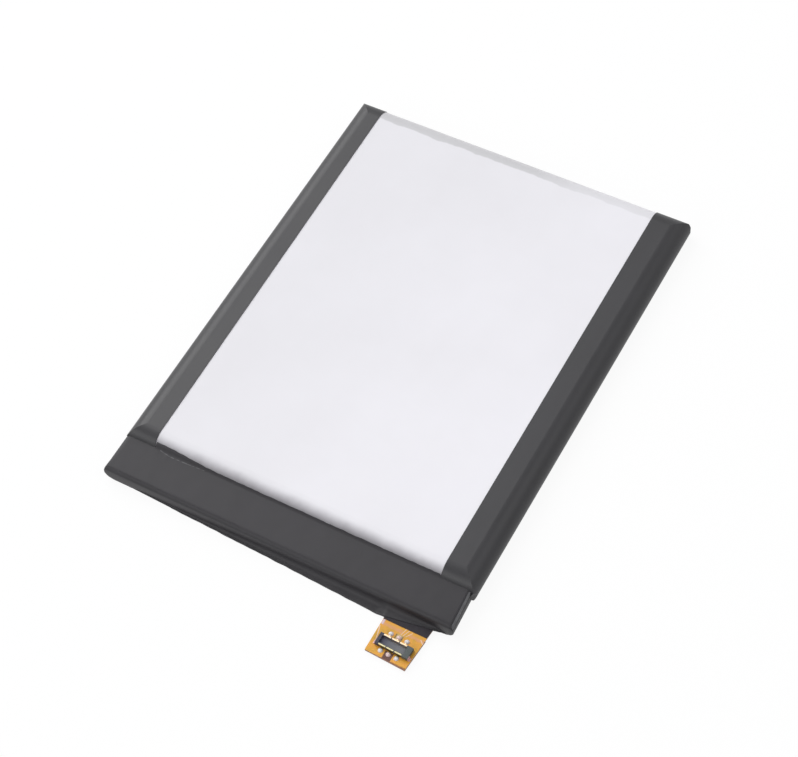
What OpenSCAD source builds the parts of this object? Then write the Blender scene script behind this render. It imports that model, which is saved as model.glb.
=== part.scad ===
// Mobile phone battery: a pouch cell, its protection board in a taped bay at one end,
// and a flex tail that carries the board-to-board connector.
// X runs across the cell, Y along it and away from the tail, Z up from the resting plane.
// The origin lies on the resting plane, under the middle of the whole outline.

/* [Cell] */
// Width of the pouch over its folded side seals
cell_w = 63.4; // [60:0.1:70]
// Length of the pouch body, without its terrace
cell_l = 77.4; // [60:0.1:100]
// Thickness of the pouch body
cell_t = 4.3; // [4:0.05:5.5]
// Radius at which the top face rolls over into the long sides
side_roll_r = 2.75; // [2:0.05:3]
// Radius at which the top face rolls over into the two ends
end_roll_r = 3.0; // [2.2:0.05:3.2]
// Radius of the pouch's four corners, seen from above
corner_r = 1.0; // [0.8:0.05:1.4]
// Thickness of a side seal, folded up against the side
seal_fold_t = 0.3; // [0.15:0.05:0.45]
// Height of a folded side seal
seal_fold_h = 2.2; // [1.2:0.1:2.6]
// Height of a folded side seal's lower edge over the back of the pouch
seal_fold_z = 0.6; // [0.4:0.05:0.8]
// Length of the sealed terrace at the tab end
terrace_l = 4.2; // [3.4:0.1:4.5]
// Thickness of the sealed terrace
terrace_t = 0.3; // [0.2:0.02:0.4]
// Length of the bevel across the terrace's two corners
terrace_bevel = 1.2; // [0.5:0.1:2]

/* [Tapes] */
// Thickness of every wrap tape
tape_t = 0.1; // [0.06:0.01:0.16]
// Width of the left tape on the top face at its far end, in from the outer side
left_tape_far_w = 5.1; // [4:0.05:9]
// Width of the left tape on the top face at its near end, in from the outer side
left_tape_near_w = 5.65; // [4:0.05:9]
// Width of the right tape on the top face at its far end, in from the outer side
right_tape_far_w = 6.2; // [4:0.05:9]
// Width of the right tape on the top face at its near end, in from the outer side
right_tape_near_w = 6.0; // [4:0.05:9]
// Width that both side tapes fold under the back
under_tape_w = 6.5; // [4:0.1:9]
// Distance that the side tapes stop short of the far end
tape_far_gap = 0.5; // [0.45:0.05:1]
// Height that the bay tape climbs up the end of the cell
tape_climb = 0.7; // [0.4:0.05:0.9]
// Length of the bay tape that is stuck under the back of the cell
tape_under_l = 4.5; // [3:0.1:8]

/* [Board bay] */
// Length of the bay, from the end of the pouch body to its outer front face
bay_l = 6.4; // [6.3:0.1:8]
// Height of the bay over the resting plane
bay_h = 3.0; // [2.8:0.05:3.3]
// How far the bay's two ends stand in from the sides of the cell
bay_inset = 0.04; // [0.02:0.01:0.1]
// How much further the bay's right end stands in at its front
bay_right_in = 0.2; // [0.1:0.05:0.3]
// How much the bay is drawn in at the left, where it meets the cell
bay_waist_left = 0.3; // [0.2:0.05:0.6]
// How much the bay is drawn in at the right, where it meets the cell
bay_waist_right = 0.6; // [0.2:0.05:0.8]
// Thickness of the board holder's roof and front wall
holder_wall = 0.4; // [0.3:0.05:0.5]
// Radius along the board holder's front upper edge
holder_edge_r = 0.6; // [0.2:0.05:0.8]
// Width of a rib under the board holder's roof
rib_w = 0.6; // [0.4:0.05:0.8]

/* [Tape lip] */
// How far the lip reaches out at the flex tail's left edge
lip_out_left = 1.85; // [1.5:0.05:2]
// How far the lip reaches out two thirds of the way along to the flex tail
lip_out_middle = 1.15; // [0.8:0.05:1.4]
// How far the lip reaches out at the flex tail's right edge
lip_out_right = 0.5; // [0.4:0.1:1.8]
// Distance from the left side of the cell to where the lip runs out
lip_inset = 4.2; // [3:0.1:20]
// Distance from the flex tail's right edge to where the lip runs out
lip_run_right = 2.0; // [1.2:0.1:2.2]
// Length over which the lip's two layers spread to take in the flex
lip_spread = 1.0; // [0.6:0.1:1.1]

/* [Protection board] */
// Distance from each end of the board to the side of the cell
board_inset = 3.2; // [2.9:0.1:3.7]
// Width of the board
board_w = 4.0; // [3.8:0.05:4.2]
// Thickness of the board
board_t = 0.7; // [0.5:0.05:0.8]
// Gap between the end of the pouch body and the board
board_gap = 0.8; // [0.6:0.05:0.9]
// Thickness of the adhesive pad between the terrace and the board
pad_t = 0.25; // [0.2:0.01:0.3]

/* [Tabs] */
// Place of the positive tab, from the board's middle, as a share of the board's length
positive_tab_place = -0.25; // [-0.26:0.01:-0.23]
// Place of the negative tab, from the board's middle, as a share of the board's length
negative_tab_place = 0.07; // [0.06:0.01:0.08]
// Width of a tab
tab_w = 4.0; // [3:0.1:5]
// Thickness of a tab
tab_t = 0.1; // [0.06:0.01:0.14]
// Length of the tab's run back over its weld plate
tab_weld_l = 2.2; // [1.5:0.1:2.8]
// Width of the sealing film on a tab
film_w = 6.6; // [6:0.1:8]
// Length of sealing film that shows past the terrace
film_l = 0.5; // [0.3:0.05:0.6]
// Length of a weld plate, across the cell
plate_l = 5.6; // [5.2:0.1:6]
// Width of a weld plate
plate_w = 2.8; // [2.2:0.1:3.2]
// Thickness of a weld plate
plate_t = 0.15; // [0.1:0.01:0.2]

/* [Board parts] */
// Side of the protection chip
chip_side = 2.0; // [1.6:0.1:2.2]
// Height of the protection chip
chip_h = 0.6; // [0.5:0.05:0.8]
// Side of a power switch
switch_side = 3.0; // [2.6:0.1:3.2]
// Height of a power switch
switch_h = 0.75; // [0.6:0.05:0.9]
// Length of the chip fuse and of the sense resistor
long_chip_l = 3.2; // [2.8:0.1:3.4]
// Width of the chip fuse and of the sense resistor
long_chip_w = 1.6; // [1.2:0.1:1.8]
// Height of the chip fuse
fuse_h = 0.6; // [0.5:0.05:0.8]
// Height of the sense resistor
sense_h = 0.5; // [0.4:0.05:0.7]
// Length of a capacitor, a small resistor and the thermistor
small_chip_l = 1.0; // [0.8:0.05:1.1]
// Width of a capacitor, a small resistor and the thermistor
small_chip_w = 0.5; // [0.4:0.05:0.7]
// Height of a capacitor and of the thermistor
capacitor_h = 0.5; // [0.4:0.05:0.6]
// Height of a small resistor
resistor_h = 0.35; // [0.3:0.05:0.5]
// Spacing of the small chips in a row
small_chip_pitch = 1.5; // [1.3:0.05:1.6]
// Number of small chips in a row
small_chip_count = 4; // [2:1:4]

/* [Flex tail] */
// Distance from the tail's right edge to the side of the cell
tail_inset = 3.3; // [3:0.1:14]
// Length of the tail in front of the bay
tail_l = 8.2; // [7.6:0.1:14]
// Width of the tail where it leaves the bay
tail_root_w = 7.7; // [6.8:0.1:7.8]
// Width of the tail at its tip
tail_tip_w = 7.0; // [6.7:0.1:7.8]
// How far the tip's left corner stops short of its right one
tip_slant = 0.3; // [0:0.05:0.5]
// Thickness of the flex circuit
flex_t = 0.15; // [0.1:0.01:0.18]
// Reach of the black coverlay out of the bay
coverlay_l = 2.2; // [2:0.05:2.4]
// Thickness of the coverlay
coverlay_t = 0.06; // [0.04:0.01:0.08]
// Distance from the front of the bay to the stiffener under the tail's tip
stiffener_start = 2.6; // [2.3:0.1:3]
// Thickness of the stiffener
stiffener_t = 0.28; // [0.15:0.01:0.3]

/* [Connector] */
// Length of the connector housing
conn_l = 5.7; // [5.65:0.05:5.9]
// Width of the housing over its end blocks
conn_w = 1.96; // [1.92:0.02:2.1]
// Width of the housing between its end blocks
conn_waist_w = 1.9; // [1.86:0.02:1.94]
// Height of the housing
conn_h = 0.8; // [0.6:0.05:1]
// Length of the left end block
conn_left_l = 0.6; // [0.5:0.05:0.65]
// Length of the right end block
conn_right_l = 1.0; // [0.85:0.05:1.05]
// Width of the channel that takes the mating plug
channel_w = 1.24; // [1.1:0.02:1.26]
// Depth of the channel
channel_d = 0.45; // [0.3:0.05:0.55]
// Wall left at the left end of the channel
channel_left = 0.5; // [0.4:0.05:0.6]
// Wall left at the right end of the channel
channel_right = 0.9; // [0.7:0.05:1]
// Distance from the tail's left edge to the middle of the connector
conn_inset = 3.85; // [3.75:0.05:3.95]
// Distance from the tail's tip to the middle of the connector
conn_back = 2.55; // [2.4:0.05:2.7]
// Turn of the connector on the tail, in degrees
conn_turn = -2; // [-4:0.5:2]
// Number of contacts in a row
contact_count = 3; // [2:1:3]
// Spacing of the contacts
contact_pitch = 1.4; // [1.3:0.02:1.44]
// Width of a contact
contact_w = 1.2; // [0.8:0.05:1.25]
// Reach of a contact's hook over the top of the housing's wall
hook_l = 0.22; // [0.15:0.01:0.22]
// Distance by which a contact's inner blade stays below the top of the housing
blade_drop = 0.12; // [0.05:0.01:0.2]
// Width of a contact's soldered foot
foot_w = 0.26; // [0.2:0.02:0.4]
// Thickness of the contact strip
contact_t = 0.1; // [0.06:0.01:0.12]
// Half the distance between the two rows of solder joints
solder_out = 1.54; // [1.5:0.02:1.6]
// Shift of both rows of solder joints away from the tail's tip
solder_shift = 0.12; // [0.08:0.01:0.14]
// Radius of a solder joint
solder_r = 0.37; // [0.25:0.02:0.37]
// Thickness of the copper pads on the flex
copper_t = 0.03; // [0.02:0.01:0.05]

/* [Hidden] */
$fn = 64;

// Clearance round a piece that fits into another
fit_gap = 0.05;
// Extra length by which a cut runs past what it cuts
over = 1;

// Places along the cell
far_y = (cell_l + bay_l + tail_l) / 2;
mid_y = far_y - cell_l / 2;
near_y = far_y - cell_l;
front_y = near_y - bay_l;
tip_y = front_y - tail_l;
// The back of the bay, within the rounded end of the cell
bay_back_y = near_y + corner_r;
// The near end of the flat part of the pouch's back
back_near_y = near_y + cell_t - end_roll_r;

// Heights of the cell
cell_z = tape_t;
cell_top = cell_z + cell_t;
side_level = cell_top - side_roll_r;

// Stack of the board bay, from the terrace up
terrace_top = cell_z + terrace_t;
board_z = terrace_top + pad_t;
flex_z = board_z - flex_t;
board_top = board_z + board_t;
plate_top = board_top + plate_t;
tab_low_z = cell_z + (terrace_t - tab_t) / 2;
roof_z = bay_h - tape_t - holder_wall;
coverlay_top = flex_z + flex_t + coverlay_t;

// Places in the board bay, along the cell
terrace_y = near_y - terrace_l;
board_back_y = near_y - board_gap;
board_front_y = board_back_y - board_w;
board_mid_y = (board_back_y + board_front_y) / 2;
holder_front_y = front_y + tape_t;
flex_root_y = board_back_y - 0.1 * board_w;
tab_bend_r = (plate_top + tab_t - tab_low_z) / 2;
tab_bend_y = board_front_y - 0.1;

// Places and half widths in the board bay, across the cell
board_l = cell_w - 2 * board_inset;
positive_tab_x = positive_tab_place * board_l;
negative_tab_x = negative_tab_place * board_l;
switches_x = (positive_tab_x + negative_tab_x) / 2;
chip_x = 0.186 * board_l;
sense_x = 0.256 * board_l;
small_chips_x = 0.312 * board_l;
fuse_x = -0.405 * board_l;
thermistor_x = -0.465 * board_l;
end_rib_x = 0.456 * board_l;
tail_x = cell_w / 2 - tail_inset - tail_root_w;
tail_right_x = tail_x + tail_root_w;
lip_left_x = lip_inset - cell_w / 2;
lip_right_x = tail_right_x + lip_run_right;
cavity_half = board_l / 2 + 0.2;
terrace_half = board_l / 2 + 0.1;

// Inner edges of the tapes on the top face and on the back
left_far_x = -(cell_w / 2 + tape_t - left_tape_far_w);
left_edge_x = -(cell_w / 2 + tape_t - left_tape_near_w);
right_far_x = cell_w / 2 + tape_t - right_tape_far_w;
right_edge_x = cell_w / 2 + tape_t - right_tape_near_w;
under_edge_x = cell_w / 2 + tape_t - under_tape_w;

// Hold-down nails at the housing's ends: width, reach, shift towards the tip, and height
nail_w = 0.6;
nail_out = 0.35;
nail_shift = -0.65;
nail_h = 0.75 * conn_h;

// Middle of the connector, on the tail
conn_x = tail_x + conn_inset;
conn_y = tip_y + conn_back;
flex_top = flex_z + flex_t;

// Half an outline with rolled ends: flat over its span, round at both sides, level with its base
module half_roll(w, r, g) {
    span = w - 2 * r;
    intersection() {
        union() {
            translate([-span / 2, 0]) square([span, r + g]);
            for (side = [-1, 1]) translate([side * span / 2, 0]) circle(r = r + g);
        }
        translate([-w, 0]) square([2 * w, r + g + over]);
    }
}

// Outline of the pouch, w wide, with a roll of radius r down to its widest level and a
// tighter one under it, grown by g
module rolled_outline(w, r, g = 0) {
    translate([0, cell_top - r]) {
        half_roll(w, r, g);
        mirror([0, 1]) half_roll(w, cell_t - r, g);
    }
}

module rounded_plan(w, l, r) {
    square([w - 2 * r, l], center = true);
    square([w, l - 2 * r], center = true);
    for (x = [-1, 1], y = [-1, 1]) {
        translate([x * (w / 2 - r), y * (l / 2 - r)]) circle(r = r);
    }
}

// An outline in Y and Z, drawn out w wide along X
module along_x(w) {
    rotate([90, 0, 90]) linear_extrude(height = w, center = true) children();
}

// An outline in X and Z, drawn out l long along Y
module along_y(l) {
    rotate([90, 0, 0]) linear_extrude(height = l, center = true) children();
}

// The smooth outer form of the pouch body, grown by g
module cell_form(g = 0) {
    translate([0, mid_y, 0]) intersection() {
        along_y(cell_l + 2 * g) rolled_outline(cell_w, side_roll_r, g);
        along_x(cell_w + 2 * g) rolled_outline(cell_l, end_roll_r, g);
        translate([0, 0, cell_z - g]) linear_extrude(height = cell_t + 2 * g) {
            rounded_plan(cell_w + 2 * g, cell_l + 2 * g, corner_r + g);
        }
    }
}

// The pouch across its length: the drawn cup, with a folded seal against each side
module sealed_outline() {
    rolled_outline(cell_w - 2 * seal_fold_t, side_roll_r);
    intersection() {
        rolled_outline(cell_w, side_roll_r);
        translate([-cell_w / 2, cell_z + seal_fold_z]) square([cell_w, seal_fold_h]);
    }
}

module pouch_cell() {
    color([0.87, 0.87, 0.89]) union() {
        intersection() {
            translate([0, mid_y, 0]) along_y(cell_l) sealed_outline();
            cell_form();
        }
        translate([0, 0, cell_z]) linear_extrude(height = terrace_t) polygon([
            [-terrace_half, near_y + end_roll_r],
            [-terrace_half, terrace_y + terrace_bevel],
            [-terrace_half + terrace_bevel, terrace_y],
            [terrace_half - terrace_bevel, terrace_y],
            [terrace_half, terrace_y + terrace_bevel],
            [terrace_half, near_y + end_roll_r]
        ]);
    }
}

// The space that a right-hand side tape covers. Its inner edge on the top face runs from
// near_x, square across the end roll, to far_x at the far end.
module tape_region(near_x, far_x) {
    far_end = far_y - tape_far_gap;
    out_x = cell_w / 2 + over;
    side_x = cell_w / 2 - side_roll_r;
    translate([0, 0, bay_h]) linear_extrude(height = cell_top + over - bay_h) polygon([
        [out_x, near_y - over],
        [out_x, far_end],
        [far_x, far_end],
        [near_x, near_y + end_roll_r],
        [near_x, near_y - over]
    ]);
    translate([side_x, near_y - over, side_level]) {
        cube([out_x - side_x, far_end - near_y + over, bay_h - side_level]);
    }
    translate([terrace_half + fit_gap, near_y - over, -over]) {
        cube([out_x - terrace_half - fit_gap, far_end - near_y + over, side_level + over]);
    }
    translate([under_edge_x, back_near_y, -over]) {
        cube([out_x - under_edge_x, far_end - back_near_y, side_level + over]);
    }
}

module side_tape(near_x, far_x) {
    difference() {
        intersection() {
            cell_form(tape_t);
            tape_region(near_x, far_x);
        }
        cell_form();
    }
}

module left_side_tape() {
    color([0.2, 0.2, 0.21]) mirror([1, 0, 0]) side_tape(-left_edge_x, -left_far_x);
}

module right_side_tape() {
    color([0.2, 0.2, 0.21]) side_tape(right_edge_x, right_far_x);
}

// The bay along the cell: flat on the back, with a round front upper edge, grown by g
module bay_outline(g) {
    r = holder_edge_r + g;
    y0 = holder_front_y - g;
    z0 = cell_z - g;
    z1 = bay_h - tape_t + g;
    translate([y0, z0]) square([bay_back_y - y0, z1 - r - z0]);
    translate([y0 + r, z0]) square([bay_back_y - y0 - r, z1 - z0]);
    translate([y0 + r, z1 - r]) circle(r = r);
}

// The bay from above: full width at its front, drawn in where it meets the cell
module bay_plan(g) {
    half = cell_w / 2 - bay_inset + g;
    y0 = holder_front_y - g;
    polygon([
        [-half, y0],
        [half - bay_right_in, y0],
        [half - bay_waist_right, near_y],
        [half - bay_waist_right, bay_back_y],
        [-half + bay_waist_left, bay_back_y],
        [-half + bay_waist_left, near_y]
    ]);
}

// The bay's outer form, with ends that follow the rolled sides of the cell, grown by g
module bay_form(g = 0) {
    deep = bay_l + end_roll_r + over;
    intersection() {
        along_x(cell_w + 2 * g) bay_outline(g);
        translate([0, front_y + deep / 2 - over, 0]) along_y(deep + 2 * over) {
            rolled_outline(cell_w - 2 * bay_inset, side_roll_r, g);
        }
        translate([0, 0, cell_z - g]) linear_extrude(height = bay_h) bay_plan(g);
    }
}

// The flex circuit from above, reaching out of the bay by the given lengths at its two edges
module flex_plan(left_out, right_out) {
    right_x = tail_root_w + (tail_tip_w - tail_root_w) * right_out / tail_l;
    polygon([
        [tail_x, flex_root_y],
        [tail_x, front_y - left_out],
        [tail_x + right_x, front_y - right_out],
        [tail_x + tail_root_w, front_y],
        [tail_x + tail_root_w, flex_root_y]
    ]);
}

// The way that the flex and its coverlay take through the front of the bay
module flex_way(gap) {
    reach = bay_l + tail_l;
    translate([tail_x - gap, front_y - reach / 2, flex_z - gap]) {
        cube([tail_root_w + 2 * gap, reach, coverlay_top - flex_z + 2 * gap]);
    }
}

// Where the tape's two layers meet in front of the bay: the lip from above
module lip_plan() {
    polygon([
        [lip_left_x, front_y + tape_t / 2],
        [lip_left_x, front_y],
        [(lip_left_x + 2 * tail_x) / 3, front_y - lip_out_middle],
        [tail_x, front_y - lip_out_left],
        [tail_right_x, front_y - lip_out_right],
        [lip_right_x, front_y],
        [lip_right_x, front_y + tape_t / 2]
    ]);
}

// The lip from the front: two layers flat on the resting plane, spread round the flex
module lip_outline() {
    high = coverlay_top + tape_t;
    low = flex_z - tape_t;
    polygon([
        [lip_left_x, 0],
        [tail_x - lip_spread, 0],
        [tail_x, low],
        [tail_right_x, low],
        [tail_right_x + lip_spread, 0],
        [lip_right_x, 0],
        [lip_right_x, 2 * tape_t],
        [tail_right_x + lip_spread, 2 * tape_t],
        [tail_right_x, high],
        [tail_x, high],
        [tail_x - lip_spread, 2 * tape_t],
        [lip_left_x, 2 * tape_t]
    ]);
}

module tape_lip() {
    reach = lip_out_left + lip_out_right + over;
    intersection() {
        linear_extrude(height = bay_h) lip_plan();
        translate([0, front_y, 0]) along_y(2 * reach) lip_outline();
    }
}

// The part of the bay tape that climbs the end of the cell, between the side tapes
module tape_climb_strip() {
    intersection() {
        cell_form(tape_t);
        translate([left_edge_x, near_y - over, bay_h - tape_t]) {
            cube([right_edge_x - left_edge_x, end_roll_r + over, tape_t + tape_climb]);
        }
    }
}

// The near end of the cell with its side tapes, which the bay tape is stuck up against
module taped_cell_end() {
    long = end_roll_r + 4 * over;
    y0 = near_y - 2 * over;
    cell_form();
    difference() {
        cell_form(tape_t);
        translate([left_edge_x, y0, side_level]) {
            cube([right_edge_x - left_edge_x, long, cell_top]);
        }
        translate([-under_edge_x, y0, -over]) {
            cube([2 * under_edge_x, long, side_level + over]);
        }
    }
}

module bay_wrap_tape() {
    color([0.17, 0.17, 0.18]) difference() {
        union() {
            difference() {
                bay_form(tape_t);
                bay_form();
            }
            tape_climb_strip();
            translate([-under_edge_x, terrace_y, 0]) {
                cube([2 * under_edge_x, terrace_l + tape_under_l, tape_t]);
            }
            tape_lip();
        }
        taped_cell_end();
        flex_way(0);
    }
}

module board_holder() {
    rib_len = board_w - 2 * rib_w;
    rib_z = board_top + fit_gap;
    gap_left = plate_l / 2 + 0.2 + rib_w / 2;
    rib_x = [
        positive_tab_x + gap_left,
        negative_tab_x - gap_left,
        negative_tab_x + gap_left,
        end_rib_x
    ];
    color([0.13, 0.13, 0.14]) union() {
        difference() {
            bay_form();
            cell_form(tape_t + fit_gap);
            translate([-cavity_half, holder_front_y + holder_wall, -over]) {
                cube([2 * cavity_half, bay_l + end_roll_r, roof_z + over]);
            }
            flex_way(2 * fit_gap);
        }
        for (x = rib_x) {
            translate([x - rib_w / 2, board_mid_y - rib_len / 2, rib_z]) {
                cube([rib_w, rib_len, roof_z - rib_z]);
            }
        }
    }
}

// The pad is the same length as the board, with a shallow pocket for the root of the flex
module board_pad() {
    back = board_back_y - 0.2;
    front = terrace_y + 0.2;
    color([0.82, 0.8, 0.72]) difference() {
        translate([-board_l / 2 + terrace_bevel, front, terrace_top]) {
            cube([board_l - 2 * terrace_bevel, back - front, pad_t]);
        }
        translate([tail_x - fit_gap, front - over, flex_z]) {
            cube([board_l / 2, back - front + 2 * over, pad_t]);
        }
    }
}

module protection_board() {
    notch = 0.5;
    color([0.08, 0.26, 0.16]) difference() {
        translate([-board_l / 2, board_front_y, board_z]) cube([board_l, board_w, board_t]);
        for (x = [-1, 1]) {
            translate([x * board_l / 2, board_mid_y, board_z - over]) {
                cylinder(r = notch, h = board_t + 2 * over);
            }
        }
    }
}

// A tab from the edge of the terrace, round the front of the board and back onto its weld plate
module tab_outline() {
    top_z = plate_top + tab_t;
    mid_z = top_z - tab_bend_r;
    translate([tab_bend_y, tab_low_z]) square([terrace_y - tab_bend_y, tab_t]);
    translate([tab_bend_y, plate_top]) square([tab_weld_l, tab_t]);
    intersection() {
        translate([tab_bend_y, mid_z]) difference() {
            circle(r = tab_bend_r);
            circle(r = tab_bend_r - tab_t);
        }
        translate([tab_bend_y - 2 * tab_bend_r, tab_low_z - over]) {
            square([2 * tab_bend_r, 2 * tab_bend_r + 2 * over]);
        }
    }
}

module cell_tab(x) {
    translate([x, 0, 0]) along_x(tab_w) tab_outline();
}

module positive_tab() {
    color([0.8, 0.81, 0.83]) cell_tab(positive_tab_x);
}

module negative_tab() {
    color([0.78, 0.75, 0.7]) cell_tab(negative_tab_x);
}

// The film that seals a tab into the pouch, on both of its faces and past its edges
module tab_film(x) {
    difference() {
        translate([x - film_w / 2, terrace_y - film_l, cell_z]) {
            cube([film_w, film_l, terrace_t]);
        }
        cell_tab(x);
    }
}

module positive_tab_film() {
    color([0.95, 0.93, 0.85]) tab_film(positive_tab_x);
}

module negative_tab_film() {
    color([0.2, 0.2, 0.22]) tab_film(negative_tab_x);
}

module weld_plate(x) {
    color([0.72, 0.71, 0.68]) {
        translate([x - plate_l / 2, board_mid_y - plate_w / 2, board_top]) {
            cube([plate_l, plate_w, plate_t]);
        }
    }
}

module positive_weld_plate() {
    weld_plate(positive_tab_x);
}

module negative_weld_plate() {
    weld_plate(negative_tab_x);
}

// A block on the board: a chip's body, with a shallow bevel along its top edges
module chip_body(w, l, h) {
    bevel = 0.08;
    translate([0, 0, 0]) linear_extrude(height = h - bevel) square([w, l], center = true);
    translate([0, 0, h - bevel]) linear_extrude(height = bevel) {
        square([w - 2 * bevel, l - 2 * bevel], center = true);
    }
}

// A two-ended chip: a body between two wider end caps
module capped_chip(w, l, h) {
    cap = w / 5;
    lip = 0.04;
    linear_extrude(height = h - lip) square([w, l - 2 * lip], center = true);
    for (side = [-1, 1]) {
        translate([side * (w - cap) / 2, 0, 0]) {
            linear_extrude(height = h) square([cap, l], center = true);
        }
    }
}

module on_board(x, y = 0) {
    translate([x, board_mid_y + y, board_top]) children();
}

module protection_chip() {
    color([0.1, 0.1, 0.11]) on_board(chip_x) chip_body(chip_side, chip_side, chip_h);
}

module power_switches() {
    color([0.1, 0.1, 0.11]) for (side = [-1, 1]) {
        on_board(switches_x + side * 0.6 * switch_side) {
            chip_body(switch_side, switch_side, switch_h);
        }
    }
}

module chip_fuse() {
    color([0.85, 0.85, 0.8]) on_board(fuse_x) capped_chip(long_chip_l, long_chip_w, fuse_h);
}

module sense_resistor() {
    color([0.15, 0.15, 0.16]) on_board(sense_x) capped_chip(long_chip_l, long_chip_w, sense_h);
}

module thermistor() {
    color([0.3, 0.22, 0.18]) on_board(thermistor_x) {
        capped_chip(small_chip_l, small_chip_w, capacitor_h);
    }
}

// A row of small chips along one edge of the board
module small_chip_row(side, h) {
    for (i = [0 : small_chip_count - 1]) {
        on_board(small_chips_x + small_chip_pitch * i, side * board_w / 4) {
            capped_chip(small_chip_l, small_chip_w, h);
        }
    }
}

module chip_capacitors() {
    color([0.62, 0.5, 0.36]) small_chip_row(1, capacitor_h);
}

module chip_resistors() {
    color([0.12, 0.12, 0.13]) small_chip_row(-1, resistor_h);
}

module flex_tail() {
    color([0.86, 0.6, 0.2]) translate([0, 0, flex_z]) linear_extrude(height = flex_t) {
        flex_plan(tail_l - tip_slant, tail_l);
    }
}

// The coverlay starts at the front of the board and stops short of the connector
module flex_coverlay() {
    color([0.12, 0.11, 0.13]) intersection() {
        translate([0, 0, flex_top]) linear_extrude(height = coverlay_t) {
            flex_plan(coverlay_l, coverlay_l);
        }
        translate([0, board_front_y - fit_gap - tail_l, 0]) {
            cube([cell_w, tail_l, bay_h]);
        }
    }
}

module flex_stiffener() {
    color([0.45, 0.28, 0.12]) intersection() {
        translate([0, 0, flex_z - stiffener_t]) linear_extrude(height = stiffener_t) {
            flex_plan(tail_l - tip_slant, tail_l);
        }
        translate([0, tip_y - over, 0]) {
            cube([cell_w, tail_l - stiffener_start + over, flex_z]);
        }
    }
}

module connector_place() {
    translate([conn_x, conn_y, flex_top]) rotate([0, 0, conn_turn]) children();
}

// One child at each contact's place along the connector
module each_contact() {
    for (i = [0 : contact_count - 1]) {
        x = (conn_left_l - conn_right_l) / 2 + (i - (contact_count - 1) / 2) * contact_pitch;
        translate([x, 0, 0]) children();
    }
}

module flex_pads() {
    pad_r = solder_r + 0.03;
    test_pad_w = 0.8;
    color([0.86, 0.68, 0.6]) {
        connector_place() {
            each_contact() for (side = [-1, 1]) {
                translate([0, side * row_out(side), 0]) cylinder(r = pad_r, h = copper_t);
            }
            for (side = [-1, 1]) {
                translate([side * (conn_l / 2 + nail_out / 2), nail_shift, copper_t / 2]) {
                    cube([nail_out, nail_w, copper_t], center = true);
                }
            }
        }
        translate([tail_x + 0.05, front_y - coverlay_l - test_pad_w - 0.05, flex_top]) {
            cube([test_pad_w / 2, test_pad_w, copper_t]);
        }
    }
}

// Distance from the middle of the connector to the solder joints on one side of it
function row_out(side) = solder_out + side * solder_shift;

// A contact round one wall of the channel: a blade up its inner face, a hook up its outer
// face and over its edge, and a foot that joins them and reaches foot_out along the flex
module contact_strip(foot_out) {
    inner = channel_w / 2;
    outer = conn_waist_w / 2;
    along_x(contact_w) {
        translate([inner, copper_t]) square([contact_t, conn_h - blade_drop - copper_t]);
        translate([outer - contact_t, copper_t]) square([contact_t, conn_h - copper_t]);
        translate([outer - hook_l, conn_h - contact_t]) square([hook_l, contact_t]);
    }
    along_x(foot_w) {
        translate([inner, copper_t]) square([foot_out - inner, contact_t]);
    }
}

module contact_row(side) {
    connector_place() each_contact() scale([1, side, 1]) contact_strip(row_out(side));
}

module far_contacts() {
    color([0.88, 0.76, 0.48]) contact_row(1);
}

module near_contacts() {
    color([0.88, 0.76, 0.48]) contact_row(-1);
}

module hold_down_nails() {
    color([0.8, 0.66, 0.6]) connector_place() for (side = [-1, 1]) scale([side, 1, 1]) {
        translate([conn_l / 2, nail_shift - nail_w / 2, copper_t]) {
            cube([contact_t, nail_w, nail_h]);
            cube([nail_out, nail_w, contact_t]);
        }
    }
}

// The housing from above: a narrow waist between two wider end blocks
module housing_plan() {
    half = conn_l / 2;
    translate([-half, -conn_waist_w / 2]) square([conn_l, conn_waist_w]);
    translate([-half, -conn_w / 2]) square([conn_left_l, conn_w]);
    translate([half - conn_right_l, -conn_w / 2]) square([conn_right_l, conn_w]);
}

module connector_housing() {
    color([0.2, 0.21, 0.22]) difference() {
        connector_place() difference() {
            linear_extrude(height = conn_h) housing_plan();
            translate([channel_left - conn_l / 2, -channel_w / 2, conn_h - channel_d]) {
                cube([conn_l - channel_left - channel_right, channel_w, channel_d + over]);
            }
        }
        contact_row(1);
        contact_row(-1);
    }
}

// A joint is a low dome of solder over the end of each contact's foot
module solder_joints() {
    sink = solder_r / 3;
    color([0.83, 0.84, 0.86]) difference() {
        connector_place() each_contact() for (side = [-1, 1]) {
            translate([0, side * row_out(side), copper_t]) intersection() {
                translate([0, 0, -sink]) sphere(r = sqrt(solder_r * solder_r + sink * sink));
                translate([-solder_r, -solder_r, 0]) cube([2 * solder_r, 2 * solder_r, conn_h]);
            }
        }
        contact_row(1);
        contact_row(-1);
    }
}

pouch_cell();
left_side_tape();
right_side_tape();
bay_wrap_tape();
board_holder();
board_pad();
protection_board();
positive_tab();
negative_tab();
positive_tab_film();
negative_tab_film();
positive_weld_plate();
negative_weld_plate();
protection_chip();
power_switches();
chip_fuse();
sense_resistor();
thermistor();
chip_capacitors();
chip_resistors();
flex_tail();
flex_coverlay();
flex_stiffener();
flex_pads();
connector_housing();
far_contacts();
near_contacts();
hold_down_nails();
solder_joints();
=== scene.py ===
"""Mobile phone battery: its looks, the hand-laid tape of its board bay, the stage and the camera."""

import math

import bmesh
import bpy
from mathutils import Matrix, Vector, noise


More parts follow.
